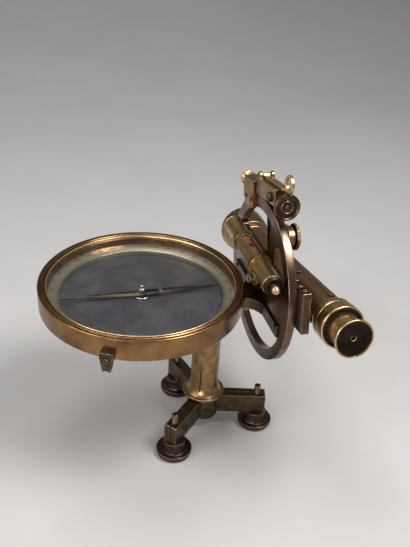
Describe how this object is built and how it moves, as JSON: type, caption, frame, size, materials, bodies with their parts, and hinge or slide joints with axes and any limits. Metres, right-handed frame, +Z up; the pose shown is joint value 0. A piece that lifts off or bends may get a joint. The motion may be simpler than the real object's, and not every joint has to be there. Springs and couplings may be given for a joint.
{
  "type": "theodolite",
  "caption": "Surveying compass with vertical circle, spirit level and tilting telescope on a three-screw trivet, in aged brass.",
  "frame": {"origin": "on the vertical axis at the underside of the trivet's hub, the mouth of its tripod thread", "axes": "+Z up along the vertical axis; +X along the trunnion, from the compass towards the vertical circle; +Y the horizontal direction of sight"},
  "size_m": [0.2639, 0.2908, 0.2802],
  "materials": {
    "aged_brass": "worn lacquered brass, brown with age",
    "drum_brass": "satin lacquered brass, golden brown",
    "dark_bronze": "dark bronzed brass, worn bright at the edges",
    "foot_bronze": "dark bronzed brass with a purplish cast",
    "screw_brass": "bright brass",
    "telescope_brass": "lacquered brass, olive brown",
    "silvered_brass": "silvered brass, engraved and blackened",
    "black_dial": "matt black lacquer",
    "dark_steel": "blued steel",
    "bright_steel": "worn steel",
    "clear_glass": "clear glass",
    "vial_glass": "glass vial filled with spirit",
    "pale_agate": "nickelled cap"
  },
  "bodies": {
    "trivet": {"trivet_body": "dark_bronze", "arm_pinch_screws": "dark_steel", "spindle": "bright_steel", "spindle_washer": "aged_brass", "spindle_screw": "dark_steel"},
    "foot_screw_1": {"levelling_screw_1": "foot_bronze"},
    "foot_screw_2": {"levelling_screw_2": "foot_bronze"},
    "foot_screw_3": {"levelling_screw_3": "foot_bronze"},
    "upper_part": {"column": "aged_brass", "bridge": "aged_brass", "box_screws": "screw_brass", "compass_box": "drum_brass", "dial_plate": "black_dial", "graduated_ring": "silvered_brass", "glass_cover": "clear_glass", "glass_ring": "drum_brass", "needle_pivot": "bright_steel", "vertical_circle": "aged_brass", "yoke": "aged_brass", "yoke_screws": "dark_steel", "level_tube": "drum_brass", "level_vial": "vial_glass", "level_caps": "dark_bronze", "level_brackets": "aged_brass", "level_screws": "screw_brass"},
    "needle_set": {"needle": "dark_steel", "needle_cap": "pale_agate", "needle_rider": "screw_brass"},
    "arrest": {"arrest_lever": "aged_brass", "arrest_screw": "dark_steel"},
    "lifter": {"needle_lifter": "aged_brass"},
    "telescope": {"trunnion": "bright_steel", "trunnion_washer": "aged_brass", "trunnion_nut": "screw_brass", "vernier_arm": "aged_brass", "vernier_plates": "silvered_brass", "vernier_blocks": "aged_brass", "vernier_screws": "dark_steel", "clamp_arm": "dark_steel", "clamp_block": "aged_brass", "clamp_fixings": "dark_steel", "loupe_pin": "dark_steel", "telescope_saddle": "telescope_brass", "main_tube": "telescope_brass", "glare_stop": "dark_bronze", "reticle": "dark_bronze", "tube_screws": "dark_steel", "objective_bell": "telescope_brass", "objective_lens": "clear_glass", "objective_ring": "dark_bronze", "eyepiece_collar": "telescope_brass"},
    "clamp": {"clamp_screw": "screw_brass"},
    "tangent": {"tangent_screw": "screw_brass", "tangent_end_knob": "screw_brass"},
    "loupe": {"loupe_arm": "screw_brass", "loupe_lens": "clear_glass"},
    "eyepiece": {"draw_tube": "dark_bronze", "eyepiece_lenses": "clear_glass", "eyecap": "dark_bronze"}
  },
  "joints": [
    {"name": "azimuth_turn", "type": "hinge", "parent": "trivet", "child": "upper_part", "pos_m": [0, 0, 0.0258], "axis": [0, 0, 1], "continuous": true},
    {"name": "levelling_turn_1", "type": "hinge", "parent": "trivet", "child": "foot_screw_1", "pos_m": [0.05203, -0.0135, 0], "axis": [0, 0, 1], "continuous": true},
    {"name": "levelling_turn_2", "type": "hinge", "parent": "trivet", "child": "foot_screw_2", "pos_m": [-0.01432, 0.05181, 0], "axis": [0, 0, 1], "continuous": true},
    {"name": "levelling_turn_3", "type": "hinge", "parent": "trivet", "child": "foot_screw_3", "pos_m": [-0.03771, -0.0383, 0], "axis": [0, 0, 1], "continuous": true},
    {"name": "needle_swing", "type": "hinge", "parent": "upper_part", "child": "needle_set", "pos_m": [-0.0635, 0, 0.1526], "axis": [0, 0, 1], "continuous": true},
    {"name": "arrest_turn", "type": "hinge", "parent": "upper_part", "child": "arrest", "pos_m": [-0.10506, -0.08017, 0.14385], "axis": [-0.4602, -0.8878, 0], "range_deg": [0, 20]},
    {"name": "lifter_rise", "type": "slide", "parent": "upper_part", "child": "lifter", "axis": [0, 0, 1], "range_m": [0, 0.0012]},
    {"name": "telescope_tilt", "type": "hinge", "parent": "upper_part", "child": "telescope", "pos_m": [0.06, 0, 0.1536], "axis": [1, 0, 0], "range_deg": [-20, 45]},
    {"name": "clamp_turn", "type": "hinge", "parent": "telescope", "child": "clamp", "pos_m": [0.058, -0.03374, 0.21248], "axis": [1, 0, 0], "continuous": true},
    {"name": "tangent_turn", "type": "hinge", "parent": "telescope", "child": "tangent", "pos_m": [0.05, 0.01327, 0.2329], "axis": [0, 0.9863, -0.165], "continuous": true},
    {"name": "loupe_swing", "type": "hinge", "parent": "telescope", "child": "loupe", "pos_m": [0.05075, 0.0215, 0.24571], "axis": [1, 0, 0], "range_deg": [-60, 0]},
    {"name": "eyepiece_slide", "type": "slide", "parent": "telescope", "child": "eyepiece", "axis": [0, 0.9863, -0.165], "range_m": [-0.008, 0.012]}
  ],
  "couplings": [
    {"joint": "arrest_turn", "follows": "lifter_rise", "rad_per_m": 290.88}
  ]
}
